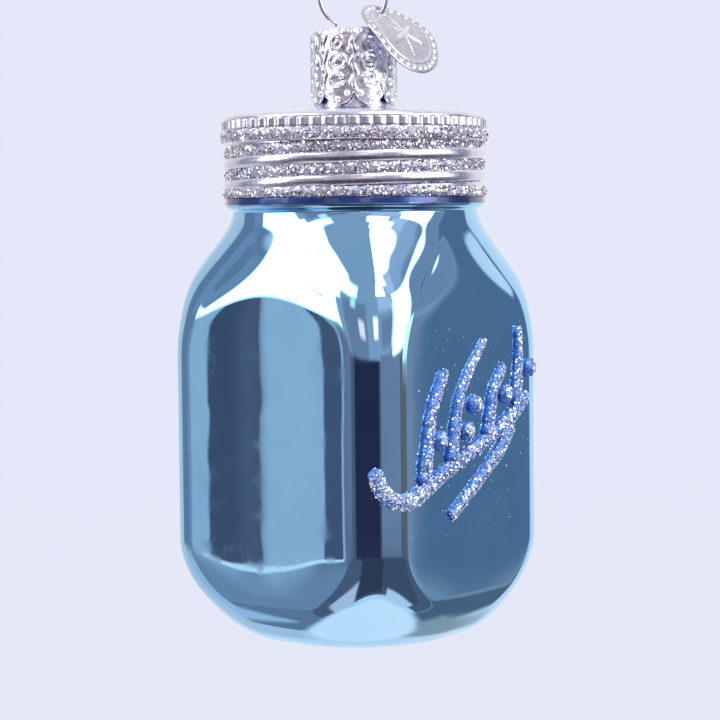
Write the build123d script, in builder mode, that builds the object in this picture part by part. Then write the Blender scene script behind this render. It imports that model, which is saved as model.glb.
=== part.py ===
from build123d import *
from math import cos, pi, radians, sin, sqrt
import os

# A hanging ornament: a square mason jar, blown in one piece with its screw lid, with a
# pressed metal cap on its neck, a sprung wire loop through the cap and a round tag on the wire.
# Millimetres. +Z is up, and the origin is the middle of the flat base. The jar's four flat
# faces look along +X, -X, +Y and -Y, and the raised glitter sprig is on the -Y face.

# ---- driving dimensions ---------------------------------------------------------------

wall = 1.0                  # thickness of the blown glass
clearance = 0.5             # gap between the glass and the cap

# jar body: a rounded square that turns round at its base and at its neck
half_width = 20.35          # from the axis to a flat face
corner_radius = 6.7         # of the upright corners
base_half = 13.0            # half width of the flat base
base_roundness = 0.91       # corner radius over half width at the base
heel_height = 7.6           # height of the curve between base and faces
heel_blend = 14.4           # height where the corners reach their own radius
shoulder_blend = 40.2       # height where the corners start to open into the neck
shoulder_z = 46.8           # height where the faces start to curve in
shoulder_late = 1.6         # over 1, because most of that curve is high up
neck_z = 61.0               # height of the narrowest section
neck_radius = 17.3
round_z = 65.5              # height where the opening corners would end in a full circle
rim_z = 62.8                # where the jar's glass meets the lid's
rim_radius = 18.4
near_round = 0.985          # roundness of a section that is as good as a circle

# screw lid, moulded in the same glass
groove_radius = 18.35       # at the root of the thread
thread_crest = 0.55         # radius of the thread's round ridge
thread_pitch = 3.15
thread_turns = 2
thread_z = 63.85            # where the thread starts
thread_start_angle = 75.0
foot_radius = 18.65         # plain band below the thread
foot_top_z = 64.0
step_z = 70.6               # underside of the wide rim band
band_radius = 18.95
band_top_z = 72.3
knurl_top_z = 73.5
knurl_count = 66
knurl_rib_radius = 0.45
knurl_root = 18.75          # between the ribs
knurl_radius = 19.05        # over the ribs
lid_edge_z = 74.55
lid_edge_round = 1.2
dome_z = 75.35              # top of the lid, where the neck of the ornament starts
stem_radius = 5.2           # glass neck inside the cap
stem_bore = 4.4
stem_top_z = 84.3

# glitter
glitter_thickness = 0.3
glue_line = 0.1             # between a curved strip and the glass under it
stroke_radius = 1.2         # of the raised glitter strokes
leaf_radius = 1.05
berry_radius = 1.5
glass_face = half_width + 0.05   # where the glitter on the jar starts
rim_glitter_gap = 0.1       # from the glitter on the rim to the band's top edge
foot_glitter_gap = 0.25     # from the glitter on the foot to either edge of the foot
thread_glitter_gap = 0.25   # from the glitter in the groove to the thread on either side
thread_glitter_turns = 1.35 # what fits between the foot and the rim band

# cap
cap_radius = 6.0
cap_sheet = 0.35
cap_top_z = 86.85
cap_top_round = 1.1
cap_lobes = 8
lobe_radius = 2.35
bead_radius = 0.34
side_bead_height = 1.6      # of the two upper beads of a lobe, over the cap's lower end
tip_bead_height = 0.9       # of the lowest bead of a lobe
side_bead_angle = 13.5      # from the middle of a lobe to a side bead
medallion_radius = 1.15
medallion_stand = 0.3       # how far an embossed medallion stands out of the wall
medallion_heights = [81.95, 84.45]

# hanger, in the plane of its loop
hanger_angle = -51.5        # of the loop's plane about +Z
wire_radius = 0.3
loop_radius = 4.8
loop_z = 91.7               # centre of the loop
slot_half_gap = 2.57        # from the axis to where a leg goes down into the cap
leg_spread = 3.4            # from the axis to a leg's tip
leg_tip_z = 78.15
slot_length = 1.5
slot_width = 1.5

# tag
tag_radius = 6.75
tag_thickness = 0.4
tag_hole_radius = 1.1
tag_hole_offset = 5.0       # from the tag's centre to its hole
tag_bead_count = 30
tag_bead_radius = 0.32
tag_droop = 37.0            # degrees below level
tag_bearing = 40.0          # degrees from the loop's plane to the way the tag hangs
tag_on_wire_z = 89.15       # height of the wire inside the tag's hole
star_arms = 6
star_reach = 3.2
star_width = 0.8

cap_bottom_z = dome_z + clearance
loop_plane = Plane(
    origin=(0, 0, 0),
    x_dir=(cos(radians(hanger_angle)), sin(radians(hanger_angle)), 0),
    z_dir=(sin(radians(hanger_angle)), -cos(radians(hanger_angle)), 0),
)
os.makedirs("parts", exist_ok=True)


def save(piece, name):
    piece.part.label = name
    export_step(piece.part, f"parts/{name}.step")


# ---- jar body -------------------------------------------------------------------------

def ease(z, start, end, late=1.0):
    """Rise from 0 at start to 1 at end, level at both, and later where late is over 1."""
    part_way = min(max((z - start) / (end - start), 0), 1) ** late
    return (1 - cos(pi * part_way)) / 2


def face_distance(z):
    """Half of the body's width at height z."""
    if z < heel_height:
        return base_half + (half_width - base_half) * sqrt(1 - (1 - z / heel_height) ** 2)
    if z > neck_z:
        return neck_radius + (rim_radius - neck_radius) * ease(z, neck_z, 2 * rim_z - neck_z) * 2
    return half_width - (half_width - neck_radius) * ease(z, shoulder_z, neck_z, shoulder_late)


def roundness(z):
    """Corner radius over half width at height z: 1 would be a circle."""
    square = corner_radius / half_width
    heel = square + (base_roundness - square) * (1 - ease(z, 0, heel_blend))
    shoulder = square + (near_round - square) * ease(z, shoulder_blend, round_z)
    return max(heel, shoulder)


def body_heights():
    """Heights of the sections: close together where the outline curves."""
    heel_steps, middle_steps, shoulder_steps = 6, 6, 9
    heel = [heel_height * (1 - cos(pi / 2 * i / heel_steps)) for i in range(heel_steps + 1)]
    middle = [heel_height + (shoulder_blend - heel_height) * i / middle_steps
              for i in range(1, middle_steps + 1)]
    shoulder = [shoulder_blend + (neck_z - shoulder_blend) * i / shoulder_steps
                for i in range(1, shoulder_steps + 1)]
    return heel + middle + shoulder + [(neck_z + rim_z) / 2, rim_z]


with BuildPart() as jar_glass:
    for height in body_heights():
        with BuildSketch(Plane.XY.offset(height)):
            half = face_distance(height)
            RectangleRounded(2 * half, 2 * half, half * roundness(height))
    loft()
    inner_heights = [wall] + [z for z in body_heights() if z > 2 * wall]
    for height in inner_heights:
        with BuildSketch(Plane.XY.offset(height)):
            half = face_distance(height) - wall
            RectangleRounded(2 * half, 2 * half, half * roundness(height))
    loft(mode=Mode.SUBTRACT)
save(jar_glass, "jar_glass")


# ---- lid: knurled rim, round-crested thread, domed top and the neck under the cap -------

with BuildPart() as lid_glass:
    with BuildSketch(Plane.XZ):
        with BuildLine():
            outer = Polyline(
                (stem_bore, stem_top_z), (stem_radius, stem_top_z), (stem_radius, dome_z),
                (cap_radius, dome_z), (knurl_root - 2 * lid_edge_round, lid_edge_z),
            )
            edge = EllipticalCenterArc(
                (knurl_root - 2 * lid_edge_round, lid_edge_z - lid_edge_round),
                2 * lid_edge_round, lid_edge_round, start_angle=0, arc_size=90,
            )
            side = Polyline(
                edge @ 0, (knurl_root, band_top_z), (band_radius, band_top_z),
                (band_radius, step_z), (groove_radius, step_z), (groove_radius, foot_top_z),
                (foot_radius, foot_top_z), (foot_radius, rim_z), (rim_radius - wall, rim_z),
                (groove_radius - wall, lid_edge_z - 2 * wall), (stem_radius, dome_z - wall),
                (stem_bore, dome_z - wall), (stem_bore, stem_top_z),
            )
        make_face()
    revolve(axis=Axis.Z)
    with BuildLine(Plane.XY.offset(thread_z).rotated((0, 0, thread_start_angle))) as thread_path:
        Helix(pitch=thread_pitch, height=thread_turns * thread_pitch, radius=groove_radius)
    with BuildSketch(Plane(origin=thread_path.line @ 0, z_dir=thread_path.line % 0)):
        Circle(thread_crest)
    sweep(path=thread_path.line, is_frenet=True)
    with BuildSketch(Plane.XY.offset(band_top_z)):
        with PolarLocations(knurl_radius - knurl_rib_radius, knurl_count):
            Circle(knurl_rib_radius)
    extrude(amount=knurl_top_z - band_top_z)
save(lid_glass, "lid_glass")


# ---- glitter: bands on the lid and a raised sprig on the jar's decorated face ------------

def ring(inner_radius, outer_radius, low_z, high_z):
    """Half section of a plain ring, drawn in the XZ plane."""
    with BuildSketch(Plane.XZ) as section:
        with Locations(((inner_radius + outer_radius) / 2, (low_z + high_z) / 2)):
            Rectangle(outer_radius - inner_radius, high_z - low_z)
    return section.sketch


with BuildPart() as lid_glitter_rim:
    add(ring(band_radius, band_radius + glitter_thickness, step_z,
             band_top_z - rim_glitter_gap))
    revolve(axis=Axis.Z)
save(lid_glitter_rim, "lid_glitter_rim")

with BuildPart() as lid_glitter_foot:
    add(ring(foot_radius, foot_radius + glitter_thickness, rim_z + foot_glitter_gap,
             foot_top_z - foot_glitter_gap))
    revolve(axis=Axis.Z)
save(lid_glitter_foot, "lid_glitter_foot")

strip_width = thread_pitch - 2 * (thread_crest + thread_glitter_gap)
with BuildPart() as lid_glitter_thread:
    strip_plane = Plane.XY.offset(thread_z + thread_pitch / 2).rotated((0, 0, thread_start_angle))
    with BuildLine(strip_plane) as strip_path:
        Helix(
            pitch=thread_pitch, height=thread_glitter_turns * thread_pitch,
            radius=groove_radius + glitter_thickness / 2 + glue_line,
        )
    start_plane = Plane(
        origin=strip_path.line @ 0, x_dir=strip_plane.x_dir, z_dir=strip_path.line % 0
    )
    with BuildSketch(start_plane):
        Rectangle(glitter_thickness, strip_width)
    sweep(path=strip_path.line, is_frenet=True)
save(lid_glitter_thread, "lid_glitter_thread")


def on_face(along, z):
    """Point on the decorated face: along runs towards +X and wraps round both corners."""
    flat = half_width - corner_radius
    past = max(abs(along) - flat, 0) / corner_radius
    side = 1 if along > 0 else -1
    x = side * (min(abs(along), flat) + corner_radius * sin(past))
    return (x, -flat - corner_radius * cos(past), z)


def stroke(points, radius):
    """A raised round stroke through points given as (along, z), with domed ends."""
    with BuildPart() as line:
        with BuildLine() as path:
            Spline([on_face(*point) for point in points])
        with BuildSketch(Plane(origin=path.line @ 0, z_dir=path.line % 0)):
            Circle(radius)
        sweep(path=path.line)
        with Locations(path.line @ 0, path.line @ 1):
            Sphere(radius)
    return line.part


with BuildPart() as glass_block:            # what lies inside the jar's outer face
    with BuildSketch():
        RectangleRounded(2 * glass_face, 2 * glass_face, corner_radius)
    extrude(amount=rim_z)

stem = [
    (-19.6, 26.4), (-18.6, 23.4), (-16.2, 21.7), (-12.6, 22.2),
    (-7.4, 24.6), (-1.6, 26.8), (4.6, 29.2), (9.6, 31.6), (13.4, 34.4),
]
leaves = [
    [(-10.9, 25.6), (-10.0, 32.4), (-6.4, 39.0)],
    [(-4.9, 28.2), (-3.0, 35.4), (3.0, 42.8)],
    [(3.6, 31.4), (4.8, 35.4), (7.6, 39.0)],
    [(10.6, 36.0), (11.4, 40.0), (11.4, 44.2)],
    [(9.0, 28.6), (2.6, 23.9), (-5.4, 18.6)],
]
berries = [(-7.6, 29.4), (-1.4, 30.2), (0.4, 33.8), (8.0, 34.8), (14.2, 38.2)]

with BuildPart() as sprig_stem:
    add(stroke(stem, stroke_radius))
    add(glass_block.part, mode=Mode.SUBTRACT)
save(sprig_stem, "sprig_stem")

with BuildPart() as sprig_leaves:
    for points in leaves:
        add(stroke(points, leaf_radius))
    add(glass_block.part, mode=Mode.SUBTRACT)
save(sprig_leaves, "sprig_leaves")

with BuildPart() as sprig_berries:
    with Locations([on_face(*point) for point in berries]):
        Sphere(berry_radius)
    add(glass_block.part, mode=Mode.SUBTRACT)
save(sprig_berries, "sprig_berries")


# ---- cap: thin pressed cup with eight round lobes and an embossed wall -------------------

lobe_pitch = 360 / cap_lobes
lobe_spacing = 2 * cap_radius * sin(pi / cap_lobes)


def wall_plane(angle):
    """Upright plane through the axis that faces outwards at angle."""
    turn = radians(angle + hanger_angle)
    return Plane(origin=(0, 0, 0), x_dir=(-sin(turn), cos(turn), 0), z_dir=(cos(turn), sin(turn), 0))


def round_cap(angle, radius, z):
    """Point at a radius and height, at an angle counted from the loop's plane."""
    turn = radians(angle + hanger_angle)
    return (radius * cos(turn), radius * sin(turn), z)


lobe_angles = [lobe_pitch * (i + 0.5) for i in range(cap_lobes)]
medallion_centre = cap_radius + medallion_stand - medallion_radius

with BuildPart() as cap_hollow:
    with BuildSketch(Plane.XY.offset(cap_bottom_z)):
        Circle(cap_radius - cap_sheet)
    extrude(amount=cap_top_z - cap_bottom_z - cap_sheet)
    fillet(cap_hollow.edges().sort_by(Axis.Z)[-1], cap_top_round - cap_sheet)

with BuildPart() as cap:
    with BuildSketch(Plane.XY.offset(cap_bottom_z)):
        Circle(cap_radius)
    extrude(amount=cap_top_z - cap_bottom_z)
    fillet(cap.edges().sort_by(Axis.Z)[-1], cap_top_round)
    with Locations([round_cap(a, medallion_centre, z)
                    for a in lobe_angles for z in medallion_heights]):
        Sphere(medallion_radius)
    with Locations([round_cap(a + s * side_bead_angle, cap_radius, cap_bottom_z + side_bead_height)
                    for a in lobe_angles for s in (-1, 1)]):
        Sphere(bead_radius)
    with Locations([round_cap(a, cap_radius, cap_bottom_z + tip_bead_height) for a in lobe_angles]):
        Sphere(bead_radius)
    add(cap_hollow.part, mode=Mode.SUBTRACT)
    for i in range(cap_lobes):
        with BuildSketch(wall_plane(lobe_pitch * i)):
            with Locations((0, cap_bottom_z)):
                Rectangle(lobe_spacing, lobe_radius, align=(Align.CENTER, Align.MIN))
            with Locations((-lobe_spacing / 2, cap_bottom_z + lobe_radius),
                           (lobe_spacing / 2, cap_bottom_z + lobe_radius)):
                Circle(lobe_radius, mode=Mode.SUBTRACT)
        extrude(amount=cap_radius + medallion_stand, mode=Mode.SUBTRACT)
    with BuildSketch(Plane.XY.offset(cap_top_z).rotated((0, 0, hanger_angle))):
        with Locations((-slot_half_gap, 0), (slot_half_gap, 0)):
            Rectangle(slot_length, slot_width)
    extrude(amount=-2 * cap_sheet, mode=Mode.SUBTRACT)
save(cap, "cap")


# ---- hanger: one wire, a round loop above the cap and two sprung legs inside the neck -----

loop_foot_z = loop_z - sqrt(loop_radius**2 - slot_half_gap**2)
with BuildPart() as hanger_wire:
    with BuildLine(loop_plane) as wire_path:
        left_leg = Line((-leg_spread, leg_tip_z), (-slot_half_gap, loop_foot_z))
        loop = ThreePointArc(left_leg @ 1, (0, loop_z + loop_radius), (slot_half_gap, loop_foot_z))
        Line(loop @ 1, (leg_spread, leg_tip_z))
    with BuildSketch(Plane(origin=wire_path.line @ 0, z_dir=wire_path.line % 0)):
        Circle(wire_radius)
    sweep(path=wire_path.line, transition=Transition.ROUND)
save(hanger_wire, "hanger_wire")


# ---- tag: thin round disc with a beaded edge and a six-armed star ------------------------

droop, bearing = radians(tag_droop), radians(tag_bearing)
hang_way = loop_plane.from_local_coords(
    Vector(cos(droop) * cos(bearing), -sin(droop), cos(droop) * sin(bearing))
)
tag_face = loop_plane.from_local_coords(
    Vector(sin(droop) * cos(bearing), cos(droop), sin(droop) * sin(bearing))
)
wire_at_tag = sqrt(loop_radius**2 - (loop_z - tag_on_wire_z) ** 2)
tag_hole = loop_plane.from_local_coords(Vector(wire_at_tag, tag_on_wire_z, 0))
tag_plane = Plane(origin=tag_hole + hang_way * tag_hole_offset, x_dir=hang_way, z_dir=tag_face)

with BuildPart() as tag:
    with BuildSketch(tag_plane):
        Circle(tag_radius)
    extrude(amount=tag_thickness / 2, both=True)
    with Locations(tag_plane):
        with PolarLocations(tag_radius - tag_bead_radius, tag_bead_count):
            Sphere(tag_bead_radius)
    with BuildSketch(tag_plane.offset(tag_thickness / 2)):
        for i in range(star_arms // 2):
            SlotOverall(2 * star_reach, star_width, rotation=180 / star_arms + i * 360 / star_arms)
    extrude(amount=tag_thickness / 2)
    with BuildSketch(tag_plane.offset(-tag_thickness)):
        with Locations((-tag_hole_offset, 0)):
            Circle(tag_hole_radius)
    extrude(amount=3 * tag_thickness, mode=Mode.SUBTRACT)
save(tag, "tag")
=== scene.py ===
import random
from math import atan2, cos, exp, pi, radians, sin, sqrt, tan

import bpy
from mathutils import Matrix, Vector, noise

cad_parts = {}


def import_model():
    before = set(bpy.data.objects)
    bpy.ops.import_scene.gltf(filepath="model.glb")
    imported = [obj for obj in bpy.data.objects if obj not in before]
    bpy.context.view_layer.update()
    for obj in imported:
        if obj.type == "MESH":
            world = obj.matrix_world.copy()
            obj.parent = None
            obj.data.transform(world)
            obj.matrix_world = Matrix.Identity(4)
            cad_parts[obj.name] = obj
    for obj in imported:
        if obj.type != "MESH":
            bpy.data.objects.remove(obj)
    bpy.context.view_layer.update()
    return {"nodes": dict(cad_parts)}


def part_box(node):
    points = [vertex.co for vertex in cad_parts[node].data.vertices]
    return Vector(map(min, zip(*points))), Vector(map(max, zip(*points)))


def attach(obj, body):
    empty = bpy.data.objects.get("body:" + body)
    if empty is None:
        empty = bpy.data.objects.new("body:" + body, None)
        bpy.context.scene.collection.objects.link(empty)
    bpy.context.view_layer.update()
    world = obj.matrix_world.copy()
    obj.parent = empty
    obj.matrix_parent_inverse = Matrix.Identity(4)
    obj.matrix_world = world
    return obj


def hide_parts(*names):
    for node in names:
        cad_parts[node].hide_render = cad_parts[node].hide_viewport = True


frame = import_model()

# A hanging blown-glass ornament in the form of a square mason jar. Lengths in this script are
# millimetres in the CAD frame, and mesh_piece() turns them into the scene's metres. Blender's
# own settings, such as the distance of a bump, are in metres.
MM = 0.001
random.seed(7)

# ---- sizes ------------------------------------------------------------------------------


def cad(node):
    """Lowest and highest corner of a CAD node, in millimetres."""
    low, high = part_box(node)
    return [v / MM for v in low], [v / MM for v in high]


# jar
HALF_WIDTH = 20.35                  # axis to the middle of a face
CORNER_RADIUS = 6.7                 # of a face's plain corner
CORNER_TIGHT = 0.91                 # the blown corner over that, beside a crowned face
FACE_CROWN = radians(2.0)           # how far a face has turned where its corner starts
BASE_HALF = 13.0                    # half width of the flat base
BASE_ROUNDNESS = 0.91               # corner radius over half width at the base
HEEL_HEIGHT = 7.6                   # of the curve between base and faces
HEEL_BLEND = 14.4                   # where the corners reach their own radius
SHOULDER_BLEND = 40.2               # where the corners start to open into the neck
SHOULDER_Z = 46.8                   # where the faces start to curve in
SHOULDER_LATE = 1.6                 # over 1, because most of that curve is high up
ROUND_Z = 65.5                      # where the opening corners would end in a full circle
NEAR_ROUND = 0.985                  # roundness of a section that is as good as a circle
ARCH_DROP = 3.2                     # how much lower a face curves in beside its corners
ARCH_FADE = (50.0, 59.0)            # heights over which that difference fades away
NECK_Z, NECK_RADIUS = 61.0, 17.3    # narrowest section
NECK_FLARE = 0.8                    # height of the quick curve from the neck out to the lid
RIM_Z, RIM_RADIUS = cad("jar_glass")[1][2], 18.4
LACQUER_Z = 61.65                   # deep blue lacquer from here up to the lid

# lid
LID_TOP = 74.55                     # edge of the lid's top
LID_EDGE_WIDE, LID_EDGE_HIGH = 1.0, 0.85        # of the round edge of the lid's top
LID_EDGE_INSET = 0.9                # its centre, in from the knurl's root
GROOVE_RADIUS = 18.35
THREAD_STAND, THREAD_HALF = 0.55, 0.85          # of the thread's round ridge: height and half width
THREAD_PITCH, THREAD_TURNS, THREAD_Z, THREAD_START = 3.15, 2, 63.85, 75.0
FOOT_RADIUS, FOOT_TOP = 18.65, 64.1
FOOT_ROLL = 0.45                    # height of the foot's rounded lower edge
BAND_RADIUS, BAND_LOW, BAND_TOP = 18.95, 70.6, 72.3
KNURL_ROOT, KNURL_RADIUS, KNURL_TOP, KNURL_COUNT = 18.72, 19.05, 73.85, 66
DOME_Z = 75.35                      # top of the lid, where the ornament's own neck starts
STEM_RADIUS, STEM_BORE, STEM_TOP = 5.2, 4.4, cad("lid_glass")[1][2]
STEM_BLEND = 0.9                    # reach of the curve from the lid's top into that neck
STEM_BLEND_HIGH = 0.25
INSIDE_DROP = 4                     # below the lid's top, to where the bore has opened into the lid

# view
VIEW_ANGLE = -51.5                  # azimuth of the camera, and of the hanger's plane
CAMERA_REACH, EYE_Z, PITCH = 327.0, 59.4, 3.5
CAMERA_ROLL = -0.59                 # degrees: the ornament hangs a little out of true
LENS, SENSOR = 113.4036, 36         # focal length and sensor width
SHIFT_X = 0.0045833                 # of the lens, over the picture's width


# ---- mesh helpers -----------------------------------------------------------------------


def mesh_piece(name, points, faces, materials, body, replaces=(), smooth=True, indices=None):
    """A closed mesh from points in millimetres, riding on a CAD body."""
    mesh = bpy.data.meshes.new(name)
    mesh.from_pydata([(x * MM, y * MM, z * MM) for x, y, z in points], [], faces)
    piece = bpy.data.objects.new(name, mesh)
    bpy.context.collection.objects.link(piece)
    for material in materials:
        mesh.materials.append(material)
    if indices:
        mesh.polygons.foreach_set("material_index", indices)
    mesh.polygons.foreach_set("use_smooth", [smooth] * len(faces))
    mesh.update()
    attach(piece, body)
    if replaces:
        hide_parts(*replaces)
    return piece


def ring_faces(rows, columns, start=0):
    """Quads between rings of points, each ring closed on itself."""
    faces = []
    for row in range(rows - 1):
        low = start + row * columns
        for column in range(columns):
            after = (column + 1) % columns
            faces.append((low + column, low + after, low + columns + after, low + columns + column))
    return faces


def closed_rings(rings):
    """Points and faces of a solid made of rings, with a flat cap at each end."""
    columns = len(rings[0])
    points = [point for ring in rings for point in ring]
    faces = ring_faces(len(rings), columns)
    last = (len(rings) - 1) * columns
    faces.append(tuple(range(columns))[::-1])
    faces.append(tuple(range(last, last + columns)))
    return points, faces


def ease(value, start, end, late=1.0):
    """Rise from 0 at start to 1 at end, level at both, and later where late is over 1."""
    part_way = min(max((value - start) / (end - start), 0), 1) ** late
    return (1 - cos(pi * part_way)) / 2


# ---- materials --------------------------------------------------------------------------


class Nodes:
    """A procedural material, with short calls for the nodes it uses."""

    def __init__(self, name, **settings):
        self.material = bpy.data.materials.new(name)
        self.material.use_nodes = True
        self.tree = self.material.node_tree
        self.shader = self.tree.nodes["Principled BSDF"]
        for socket, value in settings.items():
            self.shader.inputs[socket.replace("_", " ")].default_value = value

    def node(self, kind, **settings):
        node = self.tree.nodes.new(kind)
        for key, value in settings.items():
            if hasattr(node, key):
                setattr(node, key, value)
            else:
                node.inputs[key.replace("_", " ")].default_value = value
        return node

    def link(self, output, socket):
        self.tree.links.new(output, socket)

    def feed(self, output, name):
        self.link(output, self.shader.inputs[name])

    def place(self):
        return self.node("ShaderNodeTexCoord").outputs["Object"]

    def noise(self, scale, detail=2.0, roughness=0.5):
        node = self.node("ShaderNodeTexNoise", Scale=scale, Detail=detail, Roughness=roughness)
        self.link(self.place(), node.inputs["Vector"])
        return node.outputs["Fac"]

    def ramp(self, factor, stops):
        node = self.node("ShaderNodeValToRGB")
        ramp = node.color_ramp
        while len(ramp.elements) < len(stops):
            ramp.elements.new(0.5)
        for element, (position, colour) in zip(ramp.elements, stops):
            element.position = position
            element.color = (*colour, 1) if len(colour) == 3 else colour
        self.link(factor, node.inputs["Fac"])
        return node.outputs["Color"]

    def mottle(self, name, scale, detail, low, high):
        """Let an input drift between two colours or greys."""
        self.feed(self.ramp(self.noise(scale, detail), [(0.3, low), (0.7, high)]), name)

    def bump(self, height, strength, distance):
        node = self.node("ShaderNodeBump", Strength=strength, Distance=distance)
        self.link(height, node.inputs["Height"])
        self.feed(node.outputs["Normal"], "Normal")


def grey(value):
    return (value, value, value)


def mirrored_glass():
    """Silvered inside and tinted: a mirror with a little haze."""
    look = Nodes("mirrored_blue_glass", Metallic=1.0, Coat_Weight=0.3, Coat_Roughness=0.02, Coat_IOR=1.5)
    tone = look.ramp(look.noise(90, 3), [(0.35, (0.31, 0.63, 0.93)), (0.65, (0.34, 0.66, 0.96))])
    look.feed(tone, "Base Color")
    haze = look.ramp(look.noise(260, 6, 0.65), [(0.50, grey(0.015)), (0.80, grey(0.10))])
    look.feed(haze, "Roughness")
    return look.material


def lacquer():
    look = Nodes("deep_blue_lacquer", Metallic=0.6, Coat_Weight=0.8, Coat_Roughness=0.08)
    look.mottle("Base Color", 400, 3, (0.004, 0.020, 0.12), (0.008, 0.035, 0.20))
    look.mottle("Roughness", 900, 3, grey(0.2), grey(0.35))
    return look.material


def satin_silver():
    look = Nodes("satin_silver_paint", Metallic=1.0, Coat_Weight=0.2, Coat_Roughness=0.2)
    look.mottle("Base Color", 900, 4, (0.66, 0.68, 0.80), (0.76, 0.78, 0.90))
    look.mottle("Roughness", 1500, 3, grey(0.20), grey(0.30))
    look.bump(look.noise(3500, 3), 0.12, 0.00002)
    return look.material


def pressed_sheet():
    look = Nodes("pressed_bright_sheet", Metallic=1.0)
    look.mottle("Base Color", 1200, 3, (0.74, 0.76, 0.85), (0.88, 0.90, 0.97))
    look.mottle("Roughness", 2200, 3, grey(0.20), grey(0.34))
    look.bump(look.noise(5000, 3), 0.2, 0.00002)
    return look.material


def dull_sheet():
    look = Nodes("pressed_dull_sheet", Metallic=1.0)
    look.mottle("Base Color", 1400, 3, (0.50, 0.51, 0.60), (0.62, 0.63, 0.72))
    look.mottle("Roughness", 2400, 3, grey(0.24), grey(0.36))
    return look.material


def drawn_wire():
    look = Nodes("drawn_bright_wire", Metallic=1.0)
    look.mottle("Base Color", 2500, 2, (0.58, 0.58, 0.62), (0.74, 0.74, 0.78))
    look.mottle("Roughness", 3000, 2, grey(0.14), grey(0.24))
    return look.material


def glue(name, low, high):
    look = Nodes(name, Metallic=0.55, Coat_Weight=0.6, Coat_Roughness=0.15)
    look.mottle("Base Color", 1800, 4, low, high)
    look.mottle("Roughness", 2600, 3, grey(0.25), grey(0.5))
    look.bump(look.noise(4200, 4), 0.8, 0.00015)
    return look.material


def flakes_look(name, colours, metallic, roughness):
    """Bright foil, each flake with a colour of its own."""
    look = Nodes(name, Metallic=metallic, Roughness=roughness)
    pick = look.node("ShaderNodeNewGeometry").outputs["Random Per Island"]
    stops = [(i / len(colours), colour) for i, colour in enumerate(colours)]
    look.feed(look.ramp(pick, stops), "Base Color")
    return look.material


SILVER_FOIL = [(0.90, 0.89, 0.96), (0.72, 0.71, 0.84), (0.95, 0.95, 0.98), (0.76, 0.70, 0.94),
               (0.93, 0.90, 0.74), (0.66, 0.65, 0.78), (0.72, 0.84, 0.94), (0.95, 0.94, 0.98)]
BLUE_FOIL = [(0.90, 0.91, 0.97), (0.30, 0.50, 0.90), (0.96, 0.96, 0.99), (0.60, 0.68, 0.94),
             (0.85, 0.86, 0.96), (0.74, 0.74, 0.94), (0.95, 0.95, 0.98), (0.42, 0.64, 0.94)]


# ---- jar --------------------------------------------------------------------------------


def face_distance(z):
    """Half of the body's width at height z."""
    if z < HEEL_HEIGHT:
        return BASE_HALF + (HALF_WIDTH - BASE_HALF) * sqrt(1 - (1 - z / HEEL_HEIGHT) ** 2)
    if z > NECK_Z:
        flare = min((z - NECK_Z) / NECK_FLARE, 1)
        return NECK_RADIUS + (RIM_RADIUS - NECK_RADIUS) * sqrt(1 - (1 - flare) ** 2)
    return HALF_WIDTH - (HALF_WIDTH - NECK_RADIUS) * ease(z, SHOULDER_Z, NECK_Z, SHOULDER_LATE)


def roundness(z):
    """Corner radius over half width at height z: 1 would be a circle."""
    square = CORNER_RADIUS / HALF_WIDTH
    heel = square + (BASE_ROUNDNESS - square) * (1 - ease(z, 0, HEEL_BLEND))
    shoulder = square + (NEAR_ROUND - square) * ease(z, SHOULDER_BLEND, ROUND_Z)
    return max(heel, shoulder)


FACE_STEPS, CORNER_STEPS = 26, 48       # points of one ring, for each face and corner
HEEL_RINGS, SIDE_RINGS = 34, 230


def section(half, radius):
    """Half width of a crowned face, how far it sags at its ends, and the corner's centre."""
    flat = (half - radius * (cos(FACE_CROWN) - sin(FACE_CROWN))) / (1 + tan(FACE_CROWN) / 2)
    sag = flat * tan(FACE_CROWN) / 2
    return flat, sag, half - sag - radius * cos(FACE_CROWN)


def jar_ring(z):
    """One ring of the jar: four slightly crowned faces and four round corners."""
    half = face_distance(z)
    plain = roundness(z)
    radius = half * plain * (1 - (1 - CORNER_TIGHT) * (1 - ease(plain, 0.45, 0.8)))
    flat, sag, centre = section(half, radius)
    drop = ARCH_DROP * (1 - ease(z, *ARCH_FADE))
    quarter = []
    for i in range(FACE_STEPS + CORNER_STEPS):
        if i < FACE_STEPS:
            across = 2 * i / FACE_STEPS - 1
            x, y, turn = half - sag * across * across, flat * across, FACE_CROWN * across
            arch = across * across
        else:
            part_way = (i - FACE_STEPS) / CORNER_STEPS
            turn = FACE_CROWN + (pi / 2 - 2 * FACE_CROWN) * part_way
            x, y = centre + radius * cos(turn), centre + radius * sin(turn)
            arch = abs(cos(pi * part_way))
        inward = 0
        if HEEL_HEIGHT < z < NECK_Z:
            inward = half - face_distance(min(z + drop * arch, NECK_Z))
        quarter.append((x - inward * cos(turn), y - inward * sin(turn)))
    ring = []
    for face in range(4):
        c, s = cos(face * pi / 2), sin(face * pi / 2)
        ring += [(x * c - y * s, x * s + y * c, z) for x, y in quarter]
    return ring


def ripple(point):
    """Small unevenness of blown glass, in millimetres, towards the axis."""
    slow = noise.noise(Vector(point) * 0.09)
    quick = noise.noise(Vector(point) * 0.25 + Vector((9, 4, 1)))
    return -abs(0.012 * slow + 0.002 * quick)


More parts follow.
